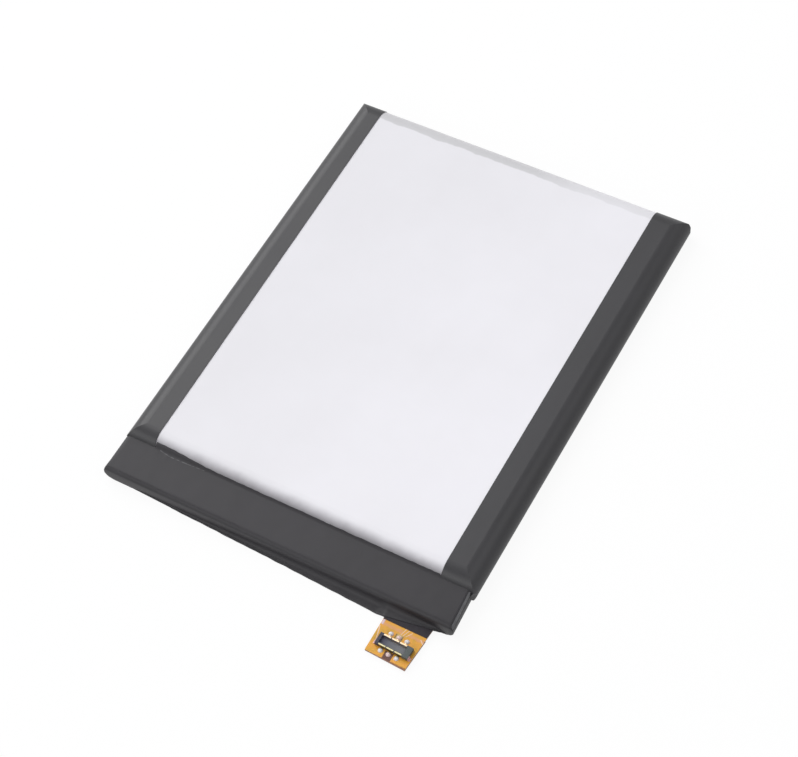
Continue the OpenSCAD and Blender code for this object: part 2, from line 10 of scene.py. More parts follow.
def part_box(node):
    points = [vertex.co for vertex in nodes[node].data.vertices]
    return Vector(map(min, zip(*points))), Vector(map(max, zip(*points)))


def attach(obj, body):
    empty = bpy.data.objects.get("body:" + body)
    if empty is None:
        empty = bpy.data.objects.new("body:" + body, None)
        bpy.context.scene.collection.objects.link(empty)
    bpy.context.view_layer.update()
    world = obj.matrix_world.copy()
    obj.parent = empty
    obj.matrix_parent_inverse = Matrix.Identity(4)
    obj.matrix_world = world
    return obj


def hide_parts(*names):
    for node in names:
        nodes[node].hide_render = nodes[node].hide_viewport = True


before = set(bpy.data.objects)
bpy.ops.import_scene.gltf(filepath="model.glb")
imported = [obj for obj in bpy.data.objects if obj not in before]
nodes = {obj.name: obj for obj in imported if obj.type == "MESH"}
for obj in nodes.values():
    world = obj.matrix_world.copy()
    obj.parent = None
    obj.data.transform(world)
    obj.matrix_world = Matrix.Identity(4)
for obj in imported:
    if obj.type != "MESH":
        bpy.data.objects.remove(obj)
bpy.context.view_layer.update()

MM = 0.001


def corners(node):
    """The node's lowest and highest corner, in millimetres."""
    return [[round(v / MM, 3) for v in corner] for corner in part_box(node)]


def new_object(name, data):
    obj = bpy.data.objects.new(name, data)
    bpy.context.scene.collection.objects.link(obj)
    return obj


# Sizes in millimetres, most of them from the frame

cell_low, cell_high = corners("pouch_cell")
side_low = corners("right_side_tape")[0]
bay_low, bay_high = corners("bay_wrap_tape")
holder_low, holder_high = corners("board_holder")
flex_low, flex_high = corners("flex_tail")
coverlay_high = corners("flex_coverlay")[1]

TAPE = 0.1
CELL_T = cell_high[2] - cell_low[2]
# Radius at which the cell's top rolls over into its near end, and into its long sides
END_ROLL_R = 3.0
SIDE_ROLL_R = 2.75
# The cell's near end without its tape, and where the flat of its back starts
NEAR_Y = side_low[1] + TAPE
BACK_NEAR_Y = NEAR_Y + CELL_T - END_ROLL_R
# The bay's outer faces
LEFT_END = bay_low[0]
RIGHT_END = bay_high[0]
FRONT_Y = holder_low[1] - TAPE
BAY_TOP = holder_high[2] + TAPE
FLEX_LEFT = flex_low[0]
FLEX_RIGHT = flex_high[0]


# Shader nodes

NOISE_ROUGHNESS = 0.55
# Values between which a noise does nearly all of its swaying
CLOUD_LOW = 0.3
CLOUD_HIGH = 0.7


def grey(value):
    return (value, value, value)


class Nodes:
    """Short names for building one node tree."""

    def __init__(self, tree):
        self.tree = tree

    def add(self, kind, **props):
        node = self.tree.nodes.new(kind)
        for key, value in props.items():
            setattr(node, key, value)
        return node

    def link(self, a, b):
        self.tree.links.new(a, b)

    def feed(self, socket, value):
        """Sets a number or a colour on the socket, or links another socket to it."""
        if isinstance(value, (int, float)):
            socket.default_value = value
        elif isinstance(value, tuple):
            socket.default_value = (*value, 1)
        else:
            self.link(value, socket)

    def place(self, scale=(1, 1, 1)):
        """Object coordinates in millimetres, times scale."""
        coordinates = self.add("ShaderNodeTexCoord")
        mapping = self.add("ShaderNodeMapping")
        mapping.inputs["Scale"].default_value = [s / MM for s in scale]
        self.link(coordinates.outputs["Object"], mapping.inputs["Vector"])
        return mapping.outputs["Vector"]

    def axes(self):
        """The three object coordinates in millimetres, as single values."""
        split = self.add("ShaderNodeSeparateXYZ")
        self.link(self.place(), split.inputs["Vector"])
        return split.outputs["X"], split.outputs["Y"], split.outputs["Z"]

    def noise(self, where, scale, detail):
        texture = self.add("ShaderNodeTexNoise")
        texture.inputs["Scale"].default_value = scale
        texture.inputs["Detail"].default_value = detail
        texture.inputs["Roughness"].default_value = NOISE_ROUGHNESS
        self.link(where, texture.inputs["Vector"])
        return texture.outputs["Fac"]

    def ramp(self, fac, stops):
        """A colour ramp through the stops, each a position and a colour."""
        node = self.add("ShaderNodeValToRGB")
        elements = node.color_ramp.elements
        while len(elements) < len(stops):
            elements.new(0.5)
        for element, (position, color) in zip(elements, stops):
            element.position = position
            element.color = (*color, 1)
        self.link(fac, node.inputs["Fac"])
        return node.outputs["Color"]

    def clouds(self, fac, low, high):
        """From the colour low to the colour high, as the noise fac sways."""
        return self.ramp(fac, [(CLOUD_LOW, low), (CLOUD_HIGH, high)])

    def calc(self, operation, a, b):
        """One Math node over two numbers or sockets."""
        node = self.add("ShaderNodeMath", operation=operation)
        self.feed(node.inputs[0], a)
        self.feed(node.inputs[1], b)
        return node.outputs["Value"]

    def times(self, a, b):
        return self.calc("MULTIPLY", a, b)

    def plus(self, a, b):
        return self.calc("ADD", a, b)

    def minus(self, a, b):
        return self.calc("SUBTRACT", a, b)

    def sway(self, where, scale, detail, reach):
        """A noise about 0, reach from its lowest to its highest value."""
        return self.times(self.minus(self.noise(where, scale, detail), 0.5), reach)

    def rise(self, value, start, end):
        """0 before start, 1 past end, smooth between them."""
        node = self.add("ShaderNodeMapRange", interpolation_type="SMOOTHSTEP")
        node.inputs["From Min"].default_value = start
        node.inputs["From Max"].default_value = end
        self.link(value, node.inputs["Value"])
        return node.outputs["Result"]

    def fall(self, value, start, end):
        """1 before start, 0 past end, smooth between them."""
        return self.minus(1.0, self.rise(value, start, end))

    def window(self, value, low, high, soft):
        """1 between low and high, with soft edges."""
        rise = self.rise(value, low - soft / 2, low + soft / 2)
        return self.times(rise, self.fall(value, high - soft / 2, high + soft / 2))

    def patch(self, x, y, box, soft):
        """1 inside the box (x0, y0, x1, y1)."""
        x0, y0, x1, y1 = box
        return self.times(self.window(x, x0, x1, soft), self.window(y, y0, y1, soft))

    def line(self, x, y, start, end, width, soft):
        """1 along the line from start to end."""
        (ax, ay), (bx, by) = start, end
        length = math.hypot(bx - ax, by - ay)
        ux, uy = (bx - ax) / length, (by - ay) / length
        dx = self.minus(x, ax)
        dy = self.minus(y, ay)
        along = self.plus(self.times(dx, ux), self.times(dy, uy))
        across = self.minus(self.times(dx, uy), self.times(dy, ux))
        inside = self.window(across, -width / 2, width / 2, soft)
        return self.times(self.window(along, 0.0, length, soft), inside)

    def mix(self, fac, a, b):
        """Colour a where fac is 0, colour b where it is 1."""
        node = self.add("ShaderNodeMix", data_type="RGBA")
        self.feed(node.inputs["Factor"], fac)
        self.feed(node.inputs["A"], a)
        self.feed(node.inputs["B"], b)
        return node.outputs["Result"]

    def tint(self, base, mask, share, color):
        """Base, moved towards color by share where the mask is 1."""
        return self.mix(self.times(mask, share), base, color)

    def grain(self, where, scale, detail, depth, strength, over=None):
        """A noise as a bump of depth millimetres, over another bump where one is given."""
        node = self.add("ShaderNodeBump")
        node.inputs["Distance"].default_value = depth * MM
        node.inputs["Strength"].default_value = strength
        self.link(self.noise(where, scale, detail), node.inputs["Height"])
        if over is not None:
            self.link(over, node.inputs["Normal"])
        return node.outputs["Normal"]

    def mix_shaders(self, fac, a, b):
        node = self.add("ShaderNodeMixShader")
        self.feed(node.inputs["Fac"], fac)
        self.link(a, node.inputs[1])
        self.link(b, node.inputs[2])
        return node.outputs["Shader"]


def material(name, **fixed):
    """A new material, its nodes and its shader, with the fixed values set on the shader."""
    mat = bpy.data.materials.new(name)
    mat.use_nodes = True
    shader = mat.node_tree.nodes["Principled BSDF"]
    for key, value in fixed.items():
        shader.inputs[key.replace("_", " ")].default_value = value
    return mat, Nodes(mat.node_tree), shader


def finish(n, shader, tone, normal, rough=None):
    """Links a material's colour, its bumps and, where it varies, its roughness."""
    n.link(tone, shader.inputs["Base Color"])
    n.link(normal, shader.inputs["Normal"])
    if rough is not None:
        n.link(rough, shader.inputs["Roughness"])


def dress(mat, *parts):
    """Gives the nodes named in parts their material."""
    for part in parts:
        mesh = nodes[part].data
        mesh.materials.clear()
        mesh.materials.append(mat)


# Tape

# Painted highlights: paler lines along creases and lifted edges of the bay's tape, each with start, end
# and width
BAY_RIDGE_HIGHLIGHTS = (
    ((-25.0, -31.15), (-22.9, -31.48), 0.13),
    ((-22.9, -31.48), (-19.6, -31.38), 0.13),
    ((-19.6, -31.38), (-16.6, -31.2), 0.09),
    ((-15.2, -38.3), (-13.0, -38.45), 0.16),
    ((-10.0, -38.4), (-8.0, -38.5), 0.14),
)
RIDGE_SOFT = 0.12
# A crease's painted highlight shows where its noise is past these values
HIGHLIGHT_DASHES = (0.42, 0.58)
# Painted shade darkens the bay's right end over these places along x
BAY_SHADE = (RIGHT_END - 0.96, RIGHT_END - 0.36)
TAPE_TONE_SPREAD = 0.15
TAPE_ROUGH_SPREAD = 0.03


def tape_material(name, tone, rough, level, ridge_highlights=(), shade=None):
    """Satin film with slow clouds, fine grain and slow waves, and painted highlights and painted shade
    where given.
    """
    mat, n, shader = material(name, Specular_IOR_Level=level)
    where = n.place()
    x, y, _ = n.axes()
    cloud = n.noise(where, scale=0.12, detail=3)
    low = [c * (1 - TAPE_TONE_SPREAD) for c in tone]
    high = [c * (1 + TAPE_TONE_SPREAD) for c in tone]
    color = n.clouds(cloud, low, high)
    highlight_dashes = n.rise(n.noise(where, scale=1.4, detail=2), *HIGHLIGHT_DASHES)
    for start, end, width in ridge_highlights:
        # Painted highlight along each crease, broken into dashes
        ridge_highlight = n.times(n.line(x, y, start, end, width, RIDGE_SOFT), highlight_dashes)
        color = n.tint(color, ridge_highlight, share=0.5, color=(0.16, 0.16, 0.165))
    if shade:
        # Painted shade: the bay's right end turns dark
        color = n.tint(color, n.rise(x, *shade), share=0.6, color=(0.008, 0.008, 0.010))
    uneven = n.clouds(cloud, grey(rough - TAPE_ROUGH_SPREAD), grey(rough + TAPE_ROUGH_SPREAD))
    slow = n.grain(n.place((1.0, 0.5, 1.0)), scale=0.12, detail=2, depth=0.08, strength=0.5)
    fine = n.grain(where, scale=9.0, detail=2, depth=0.004, strength=0.5, over=slow)
    finish(n, shader, color, fine, uneven)
    return mat


# Foil

# Where the grey strip along the far end starts, and the places along x over which it fades
FAR_STRIP = (cell_high[1] - 3.25, cell_high[1] - 2.9)
STRIP_FADE = (2.0, 14.0)
STRIP_LEAST = 0.4
# Painted shade: over these places along y the near roll comes out of the bay's shade
ROLL_SHADE = (NEAR_Y + 0.2, NEAR_Y + 2.4)
# Painted shade: the foil is a little darker towards its far left corner, measured along this slant
SHADE_SLANT = 0.25
SHADE_SPAN = (-45.0, 30.0)


def foil_material():
    """Satin laminated foil, with painted shade on its near roll and towards its far left, and a grey
    strip along its far end.
    """
    mat, n, shader = material("pouch_foil", Roughness=0.4, Specular_IOR_Level=0.25)
    where = n.place()
    x, y, _ = n.axes()
    cloud = n.noise(where, scale=0.06, detail=3)
    tone = n.clouds(cloud, (0.755, 0.745, 0.775), (0.785, 0.775, 0.81))
    # Painted shade, darker towards the far left
    left = n.fall(n.minus(x, n.times(y, SHADE_SLANT)), *SHADE_SPAN)
    tone = n.tint(tone, left, share=0.22, color=(0.42, 0.42, 0.43))
    strip_y = n.plus(y, n.sway(n.place((0.16, 0.0, 0.0)), scale=1.0, detail=3, reach=1.6))
    fade = n.plus(STRIP_LEAST, n.times(n.fall(x, *STRIP_FADE), 1 - STRIP_LEAST))
    strip = n.times(n.rise(strip_y, *FAR_STRIP), fade)
    tone = n.tint(tone, strip, share=0.42, color=(0.33, 0.33, 0.325))
    # Painted shade at the foot of the near roll, where it meets the bay
    shade_y = n.plus(y, n.sway(n.place((0.3, 0.3, 0.3)), scale=1.0, detail=3, reach=0.7))
    tone = n.tint(tone, n.fall(shade_y, *ROLL_SHADE), share=0.9, color=(0.15, 0.14, 0.155))
    slow = n.grain(where, scale=0.09, detail=3, depth=0.15, strength=0.5)
    fine = n.grain(where, scale=6.0, detail=3, depth=0.003, strength=0.4, over=slow)
    finish(n, shader, tone, fine)
    return mat


# Plain small parts

TONE_SPREAD = 0.12
ROUGH_SPREAD = 0.15


def plain_detail(name, color, rough, metallic=0.0, grain=12.0, depth=0.004, **fixed):
    """One colour with slight clouds, uneven roughness and a fine grain."""
    mat, n, shader = material(name, Metallic=metallic, Roughness=rough, **fixed)
    where = n.place()
    low = [c * (1 - TONE_SPREAD) for c in color]
    high = [min(1.0, c * (1 + TONE_SPREAD)) for c in color]
    tone = n.clouds(n.noise(where, scale=1.1, detail=4), low, high)
    finer = grey(rough * (1 - ROUGH_SPREAD))
    coarser = grey(min(1.0, rough * (1 + ROUGH_SPREAD)))
    uneven = n.clouds(n.noise(where, scale=2.3, detail=3), finer, coarser)
    grains = n.grain(where, scale=grain, detail=3, depth=depth, strength=0.6)
    finish(n, shader, tone, grains, uneven)
    return mat


# Flex

# Copper planes under the film, as boxes (x0, y0, x1, y1)
COPPER_PLANES = ((21.0, -40.95, 24.4, -40.45), (25.6, -41.0, 28.2, -40.55))
COPPER_SOFT = 0.25
# Traces: start, end and width
TRACES = (
    ((24.3, -41.5), (24.75, -40.0), 0.13),
    ((24.75, -41.3), (25.3, -40.0), 0.13),
    ((25.2, -41.2), (25.9, -40.2), 0.12),
    ((27.5, -40.6), (28.3, -41.3), 0.16),
    ((20.8, -41.2), (21.5, -43.8), 0.16),
)
TRACE_SOFT = 0.05
# Patches round the middle solder joints: the far one, dark at its rim and paler inside, and the dark near
# one
FAR_RIM = (23.72, -42.45, 24.98, -41.28)
FAR_CORE = (23.9, -42.3, 24.8, -41.2)
NEAR_PATCH = (23.62, -46.2, 25.05, -44.45)
FAR_PATCH_SOFT = 0.1
NEAR_PATCH_SOFT = 0.12
# The brown rim at the tip, and the levels over which the cut edge gives way to the face
TIP_RIM = (flex_low[1] + 0.16, flex_low[1] + 0.34)
TIP_RAGGED = 0.3
CUT_EDGE = (flex_high[2] - 0.03, flex_high[2] - 0.005)


def flex_material():
    """Amber film over copper, whose planes and traces show through."""
    mat, n, shader = material("flex_polyimide", Roughness=0.34, Specular_IOR_Level=0.4)
    where = n.place()
    x, y, z = n.axes()
    cloud = n.noise(where, scale=0.8, detail=3)
    amber = ((0.35, (0.56, 0.30, 0.022)), (0.5, (0.68, 0.33, 0.028)), (0.68, (0.72, 0.31, 0.035)))
    tone = n.ramp(cloud, amber)
    ragged = n.sway(where, scale=1.6, detail=2, reach=0.5)
    ragged_y = n.plus(y, ragged)
    for box in COPPER_PLANES:
        plane = n.patch(x, ragged_y, box, COPPER_SOFT)
        tone = n.tint(tone, plane, share=0.8, color=(0.62, 0.30, 0.14))
    for start, end, width in TRACES:
        tone = n.mix(n.line(x, y, start, end, width, TRACE_SOFT), tone, (0.72, 0.50, 0.36))
    tone = n.mix(n.patch(x, y, FAR_RIM, FAR_PATCH_SOFT), tone, (0.16, 0.11, 0.035))
    tone = n.mix(n.patch(x, y, FAR_CORE, FAR_PATCH_SOFT), tone, (0.55, 0.38, 0.12))
    near = n.patch(x, ragged_y, NEAR_PATCH, NEAR_PATCH_SOFT)
    tone = n.mix(near, tone, (0.10, 0.035, 0.022))
    rim = n.fall(n.plus(y, n.times(ragged, TIP_RAGGED)), *TIP_RIM)
    tone = n.tint(tone, rim, share=0.85, color=(0.16, 0.055, 0.028))
    tone = n.mix(n.fall(z, *CUT_EDGE), tone, (0.20, 0.075, 0.03))
    uneven = n.clouds(n.noise(where, scale=2.3, detail=3), grey(0.28), grey(0.42))
    ripple = n.grain(where, scale=5.0, detail=3, depth=0.012, strength=0.6)
    finish(n, shader, tone, ripple, uneven)
    return mat


# Connector

# Levels over which a contact comes out of its painted shade, and places between the two rows past which
# painted light makes the far row paler and pinker
CONTACT_SHADE = (1.30, 1.38)
BETWEEN_ROWS = (-43.6, -43.2)
# The housing along x, from its left to its right end, with its colours on the way
HOUSING_SPAN = (21.6, 27.4)
HOUSING_TONES = (
    (0.0, (0.026, 0.026, 0.05)),
    (0.35, (0.05, 0.053, 0.066)),
    (0.7, (0.08, 0.085, 0.092)),
    (1.0, (0.06, 0.074, 0.07)),
)
# The housing's paler clouds show where their noise is past these values
PALE_CLOUDS = (0.35, 0.75)
# The channel's floor: its box, the levels over which it ends, and its colours along x
CHANNEL_BOX = (21.9, -44.2, 26.6, -42.7)
CHANNEL_SOFT = 0.06
CHANNEL_LEVELS = (1.05, 1.15)
CHANNEL_SPAN = (22.0, 25.5)
CHANNEL_TONES = (
    (0.0, (0.05, 0.05, 0.085)),
    (0.5, (0.115, 0.12, 0.14)),
    (1.0, (0.15, 0.155, 0.17)),
)
# The middle pair of solder joints along x
MIDDLE_JOINTS = (23.7, 25.0)
JOINTS_SOFT = 0.1


def contact_material():
    """Gold plating, bright on its upper bends and olive lower down where shade is painted, with painted
    light making the far row paler and pinker.
    """
    mat, n, shader = material("contact_gold", Metallic=1.0, Roughness=0.38)
    where = n.place()
    _, y, z = n.axes()
    cloud = n.noise(where, scale=2.5, detail=3)
    tone = n.clouds(cloud, (0.38, 0.345, 0.195), (0.47, 0.43, 0.265))
    # Painted shade: olive below the upper bends
    tone = n.mix(n.rise(z, *CONTACT_SHADE), (0.16, 0.13, 0.045), tone)
    # Painted light: the far row is paler and pinker
    tone = n.mix(n.rise(y, *BETWEEN_ROWS), tone, (0.64, 0.48, 0.32))
    finish(n, shader, tone, n.grain(where, scale=9.0, detail=2, depth=0.01, strength=0.6))
    return mat


def housing_material():
    """Dark moulded plastic: bluish at its left end, greyer towards the right."""
    mat, n, shader = material("connector_plastic", Roughness=0.5, Specular_IOR_Level=0.35)
    where = n.place()
    x, y, z = n.axes()
    cloud = n.noise(where, scale=2.0, detail=3)
    tone = n.ramp(n.rise(x, *HOUSING_SPAN), HOUSING_TONES)
    tone = n.tint(tone, n.rise(cloud, *PALE_CLOUDS), share=0.35, color=(0.12, 0.12, 0.13))
    channel = n.times(n.patch(x, y, CHANNEL_BOX, CHANNEL_SOFT), n.fall(z, *CHANNEL_LEVELS))
    tone = n.mix(channel, tone, n.ramp(n.rise(x, *CHANNEL_SPAN), CHANNEL_TONES))
    uneven = n.clouds(cloud, grey(0.42), grey(0.6))
    fine = n.grain(where, scale=14.0, detail=3, depth=0.01, strength=0.7)
    finish(n, shader, tone, fine, uneven)
    return mat


def solder_material():
    """Matt pale solder, with a pinkish cast on the middle pair."""
    mat, n, shader = material("solder", Metallic=0.1, Roughness=0.5)
    where = n.place()
    x, _, _ = n.axes()
    cloud = n.noise(where, scale=3.0, detail=3)
    tone = n.clouds(cloud, (0.62, 0.62, 0.65), (0.76, 0.76, 0.78))
    middle = n.window(x, *MIDDLE_JOINTS, JOINTS_SOFT)
    tone = n.tint(tone, middle, share=0.7, color=(0.72, 0.50, 0.46))
    finish(n, shader, tone, n.grain(where, scale=5.0, detail=3, depth=0.03, strength=0.7))
    return mat


# Looks of the nodes

side_tape = tape_material("side_tape", (0.0175, 0.017, 0.020), rough=0.42, level=0.43)
bay_tape = tape_material(
    "bay_tape", (0.027, 0.0255, 0.029), rough=0.5, level=0.29, ridge_highlights=BAY_RIDGE_HIGHLIGHTS, shade=BAY_SHADE
)
holder = plain_detail("holder_plastic", (0.05, 0.05, 0.055), rough=0.6)
foam = plain_detail("pad_foam", (0.8, 0.78, 0.7), rough=0.8, depth=0.02)
laminate = plain_detail("board_laminate", (0.05, 0.2, 0.12), rough=0.35, grain=20)
aluminium = plain_detail("tab_aluminium", (0.8, 0.81, 0.83), rough=0.3, metallic=1.0)
nickel = plain_detail("tab_nickel", (0.72, 0.7, 0.66), rough=0.32, metallic=1.0)
clear_film = plain_detail("film_clear", (0.92, 0.9, 0.82), rough=0.45)
dark_film = plain_detail("film_dark", (0.14, 0.14, 0.16), rough=0.45)
chip = plain_detail("chip_plastic", (0.05, 0.05, 0.055), rough=0.5, grain=30, depth=0.006)
fuse = plain_detail("fuse_ceramic", (0.8, 0.8, 0.76), rough=0.5)
resistor = plain_detail("resistor_ceramic", (0.08, 0.08, 0.09), rough=0.4)
sensor = plain_detail("thermistor_ceramic", (0.24, 0.18, 0.14), rough=0.5)
capacitor = plain_detail("capacitor_ceramic", (0.5, 0.38, 0.26), rough=0.5)
coverlay = plain_detail(
    "coverlay_black", (0.016, 0.013, 0.018), rough=0.5, Specular_IOR_Level=0.25
)
stiffener = plain_detail("stiffener_polyimide", (0.25, 0.09, 0.045), rough=0.5)
pad_gold = plain_detail("pad_gold", (0.52, 0.40, 0.42), rough=0.5, metallic=0.4)
nail = plain_detail("nail_metal", (0.58, 0.36, 0.36), rough=0.5, metallic=0.5)

dress(foil_material(), "pouch_cell")
dress(side_tape, "left_side_tape", "right_side_tape")
dress(bay_tape, "bay_wrap_tape")
dress(holder, "board_holder")
dress(foam, "board_pad")
dress(laminate, "protection_board")
dress(aluminium, "positive_tab")
dress(nickel, "negative_tab", "positive_weld_plate", "negative_weld_plate")
dress(clear_film, "positive_tab_film")
dress(dark_film, "negative_tab_film")
dress(chip, "protection_chip", "power_switches")
dress(fuse, "chip_fuse")
dress(resistor, "sense_resistor", "chip_resistors")
dress(sensor, "thermistor")
dress(capacitor, "chip_capacitors")
dress(flex_material(), "flex_tail")
dress(coverlay, "flex_coverlay")
dress(stiffener, "flex_stiffener")
dress(pad_gold, "flex_pads")
dress(housing_material(), "connector_housing")
dress(contact_material(), "far_contacts", "near_contacts")
dress(nail, "hold_down_nails")
dress(solder_material(), "solder_joints")


# Tape of the bay, as laid by hand

# How much narrower the bay is at the cell than at its front, over these places from the middle
WAIST_LEFT = 0.3
WAIST_RIGHT = 0.4
WAIST_SPAN = (25.0, 31.0)
# The rolled ends of the bay, outside of the tape: upper and lower radius, and the round
# between the upper roll and the top
END_UPPER_R = SIDE_ROLL_R + TAPE
END_LOWER_R = CELL_T - SIDE_ROLL_R + TAPE
END_SOFT = 0.45
# Rows of points along x: closer and closer over each rolled end, and even between them
END_SPAN = 3.0
END_ROWS = 15
MIDDLE_ROWS = 230
# Where the upper layer climbs the cell, along x, and how far it takes to start: outwards, inwards
CLIMB_LEFT = -26.15
CLIMB_RIGHT = 25.8
CLIMB_OUT = 0.1
CLIMB_IN = 0.05
CLIMB_LEAST = 0.01
# Height of the climb, and what it gains towards the left and the right, over places along x
CLIMB = 0.26
LEFT_GAIN = 0.42
LEFT_GAIN_SPAN = (-25.5, -13.0)
RIGHT_GAIN = 0.1
RIGHT_GAIN_SPAN = (19.0, 26.0)
CLIMB_STEPS = 4
# Past the climb the layer starts under the side tapes instead
TUCK = (NEAR_Y + 1.0, NEAR_Y + 0.44)
# The crease along the cell: its whole width, its first step and its rise
CREASE_W = 0.18
CREASE_STEP = 0.02
CREASE_RISE = 0.08
CREASE_STEPS = 3
# A short fold beside the crease: places along x, distance from the crease and half its width
FOLD_SPAN = (-28.0, -26.5, -23.0, -19.0)
FOLD_IN = 0.55
FOLD_W = 0.22
# The top's waves grow from nothing at the crease over this distance
CALM = 1.2
TOP_STEPS = 16
# Radius of the edge between top and front
EDGE_R = 0.85
ARC_STEPS = 8
# The lip's edge from left to right, as points (x, y)
LIP_EDGE = (
    (-27.5, FRONT_Y),
    (4.6, -38.95),
    (FLEX_LEFT, bay_low[1]),
    (FLEX_RIGHT, -38.3),
    (30.4, FRONT_Y),
)
# A lip shorter than the first counts as none, one longer than the second has an uneven edge
LIP_NONE = 0.02
LIP_UNEVEN = 0.3
LIP_STEPS = 4
# The tent at the front's foot: its reach, its most as a share of the lip, and its steepness
TENT = 1.15
TENT_SHARE = 0.8
TENT_SLOPE = 1.1
# The front wall: how far it bulges, its least height and its foot where there is no lip
BULGE = 0.02
WALL_LEAST = 0.1
WALL_FOOT = 0.3
WALL_STEPS = 4
# The flex passes between the layers, which part at its sides over this distance
FLEX_SPREAD = 1.8
ABOVE_FLEX = coverlay_high[2] + TAPE
BELOW_FLEX = flex_low[2] - TAPE
# The lower layer: its slope from the lip, its set-in where the lip is short, and its back edge
# under the cell, which ends sooner under the side tapes
UNDER_SLOPE = 1.0
UNDER_SET_IN = 0.08
UNDER_SLOPE_STEPS = 6
UNDER_FLAT_STEPS = 8
UNDER_BACK = bay_high[1]
UNDER_BACK_SIDES = BACK_NEAR_Y + 0.02
SIDE_TAPE_X = side_low[0]
# Waves in the tape, each with its height, its size along the tape and its own seed
CLIMB_WAVES = ((0.08, 2.2, 3.1), (0.04, 0.7, 8.4))
FOLD_WAVES = ((0.14, 1.3, 5.7),)
TOP_WAVES = ((0.03, 6.0, 2.2), (0.015, 1.8, 7.7))
EDGE_WAVES = ((0.07, 9.0, 1.3),)
WALL_WAVES = ((0.02, 2.5, 4.4),)
TENT_WAVES = ((0.3, 4.0, 6.6),)
LIP_WAVES = ((0.06, 1.6, 9.2),)
# Points closer than the first are joined, and edges shorter than the second dissolved
JOIN = 0.002
SLIVER = 0.001


def waves(layers, x, y=0.0):
    """Height of all the layers of waves at one place."""
    height = 0.0
    for high, size, seed in layers:
        height += high * noise.noise(Vector((x / size, y / size, seed)))
    return height


def smooth(value, start, end):
    """0 before start, 1 past end, smooth between them."""
    k = min(1.0, max(0.0, (value - start) / (end - start)))
    return k * k * (3 - 2 * k)


def plateau(value, start, rise_end, fall_start, end):
    """0 up to start, 1 from rise_end to fall_start, 0 past end, smooth between them."""
    return smooth(value, start, rise_end) * (1 - smooth(value, fall_start, end))


def soft_min(value, limit, soft):
    """The lower of value and limit, rounded where they cross."""
    h = max(soft - abs(value - limit), 0.0) / soft
    return min(value, limit) - h * h * soft / 4


def span(start, end, count):
    """Evenly spaced values from start to end."""
    return [start + (end - start) * k / count for k in range(count + 1)]


def quarter(count):
    """Evenly spaced angles up to a quarter turn, without 0."""
    return span(0.0, math.pi / 2, count)[1:]


def on_cell(x):
    """1 where the upper layer climbs the cell, 0 past the climb's ends."""
    return plateau(
        x, CLIMB_LEFT - CLIMB_OUT, CLIMB_LEFT + CLIMB_IN, CLIMB_RIGHT - CLIMB_IN, CLIMB_RIGHT + CLIMB_OUT
    )


def over_flex(x):
    """1 where the flex passes between the two layers, 0 clear of it."""
    return plateau(x, FLEX_LEFT - FLEX_SPREAD, FLEX_LEFT, FLEX_RIGHT, FLEX_RIGHT + FLEX_SPREAD)


def lip_out(x):
    """How far the lip stands out of the bay's front at x."""
    for (ax, ay), (bx, by) in zip(LIP_EDGE, LIP_EDGE[1:]):
        if ax <= x <= bx:
            return FRONT_Y - (ay + (by - ay) * (x - ax) / (bx - ax))
    return 0.0


def lip_y(x, set_in):
    """The lip's edge at x: uneven, or set in where the lip is short."""
    out = lip_out(x)
    return FRONT_Y - out + (waves(LIP_WAVES, x) if out > LIP_UNEVEN else set_in)


def roll_y(z):
    """The outside of the tape on the cell's near roll at level z."""
    level = z - (cell_high[2] - END_ROLL_R)
    return NEAR_Y + END_ROLL_R - math.sqrt((END_ROLL_R + TAPE) ** 2 - level**2)


def arc_height(radius, d):
    """Height of a circle above its centre, at d from its side."""
    return math.sqrt(max(0.0, radius**2 - (radius - d) ** 2))


def end_limits(x):
    """The lowest and highest level that the rolled ends allow at x."""
    d = min(x - LEFT_END, RIGHT_END - x)
    low = 0.0
    high = math.inf
    if d < END_UPPER_R:
        high = END_LOWER_R + arc_height(END_UPPER_R, d)
    if d < END_LOWER_R:
        low = END_LOWER_R - arc_height(END_LOWER_R, d)
    return low, max(low, high)


def waisted(x, y):
    """Moves x in where the bay is narrower than at its front."""
    t = min(1.0, max(0.0, (y - FRONT_Y) / (NEAR_Y - FRONT_Y)))
    if x < 0:
        return x + WAIST_LEFT * t * smooth(-x, *WAIST_SPAN)
    return x - WAIST_RIGHT * t * smooth(x, *WAIST_SPAN)


def climb_height(x):
    """How far the upper layer climbs the cell at x, with its uneven edge."""
    base = CLIMB + LEFT_GAIN * (1 - smooth(x, *LEFT_GAIN_SPAN)) + RIGHT_GAIN * smooth(x, *RIGHT_GAIN_SPAN)
    return on_cell(x) * (base + waves(CLIMB_WAVES, x))


def climb_points(x):
    """From the layer's edge on the cell down to the crease, or its start under a side tape."""
    if on_cell(x) > CLIMB_LEAST:
        crease_z = BAY_TOP + CREASE_RISE
        return [(roll_y(z), z) for z in span(crease_z + climb_height(x), crease_z, CLIMB_STEPS)]
    return [(y, BAY_TOP) for y in span(*TUCK, CLIMB_STEPS)]


def crease_points(x):
    """The small rise at the cell, down to the top."""
    rise = CREASE_RISE * on_cell(x)
    start = roll_y(BAY_TOP) - CREASE_STEP
    pts = []
    for a in span(0.0, 1.0, CREASE_STEPS)[1:]:
        pts.append((start - (CREASE_W - CREASE_STEP) * a, BAY_TOP + rise * (1 - a) ** 2))
    return pts


def top_points(x, edge_r):
    """The top, with its slow waves and the short fold."""
    back = roll_y(BAY_TOP) - CREASE_W
    fold = plateau(x, *FOLD_SPAN) * abs(waves(FOLD_WAVES, x))
    pts = []
    for y in span(back, FRONT_Y + edge_r, TOP_STEPS)[1:]:
        swell = smooth(back - y, 0.0, CALM) * waves(TOP_WAVES, x, y)
        pts.append((y, BAY_TOP + swell + fold * math.exp(-(((y - back + FOLD_IN) / FOLD_W) ** 2))))
    return pts


def edge_points(edge_r):
    """The soft edge from the top to the front."""
    pts = []
    for a in quarter(ARC_STEPS):
        pts.append((FRONT_Y + edge_r * (1 - math.sin(a)), BAY_TOP - edge_r * (1 - math.cos(a))))
    return pts


